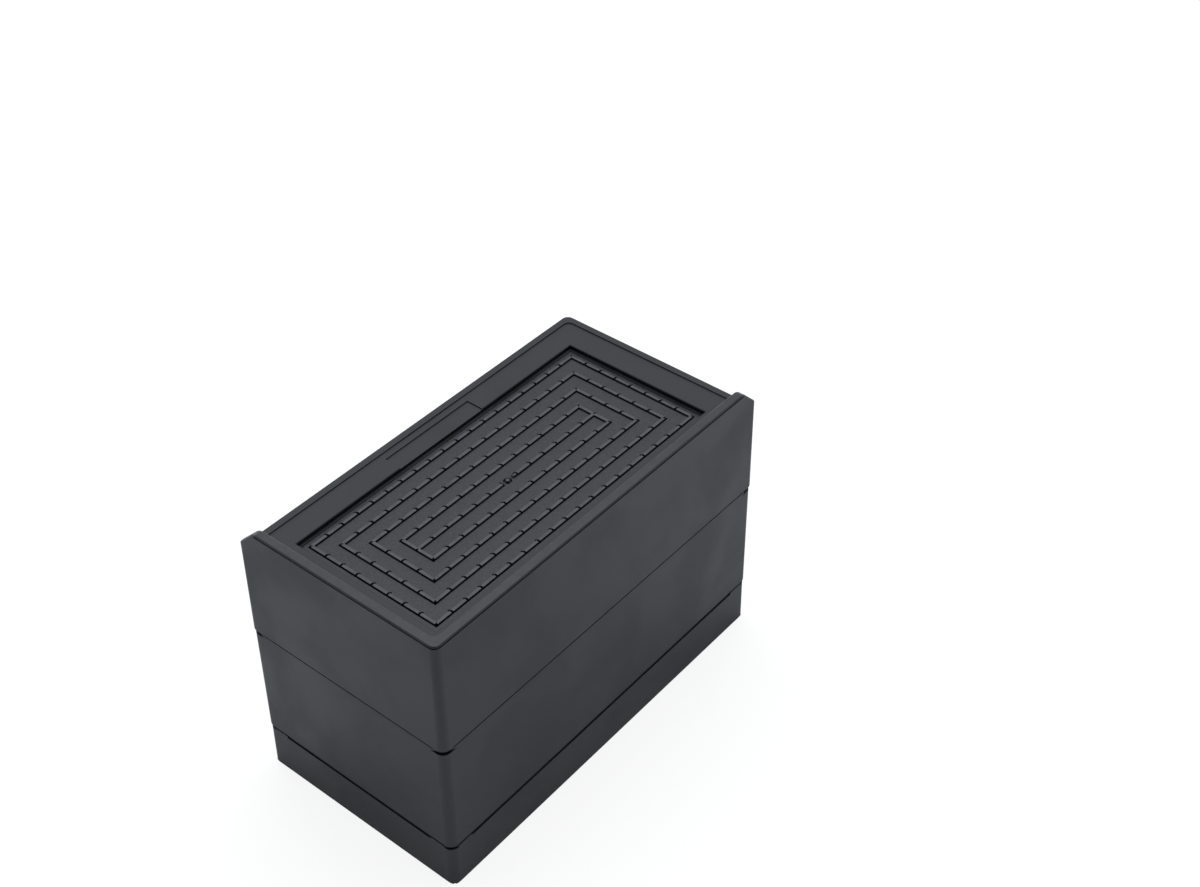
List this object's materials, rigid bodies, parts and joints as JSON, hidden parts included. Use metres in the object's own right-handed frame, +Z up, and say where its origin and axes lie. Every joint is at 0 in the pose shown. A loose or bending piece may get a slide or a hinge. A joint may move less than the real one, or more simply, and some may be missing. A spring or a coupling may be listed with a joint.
{
  "type": "bed riser",
  "caption": "Rectangular block riser of stacked mouldings, with a sunk ridged tread for a bed leg and a raised lip along adjoining sides.",
  "frame": {"origin": "middle of the footprint, on the floor", "axes": "+Z up, X along the long side, the lip runs along the -X short side and the -Y long side"},
  "size_m": [0.24, 0.128, 0.165],
  "materials": {
    "tray_plastic": "black, fine moulded grain",
    "block_plastic": "black, fine moulded grain"
  },
  "bodies": {
    "root": {"top_tray": "tray_plastic", "middle_block": "block_plastic", "base_block": "block_plastic"}
  },
  "joints": []
}
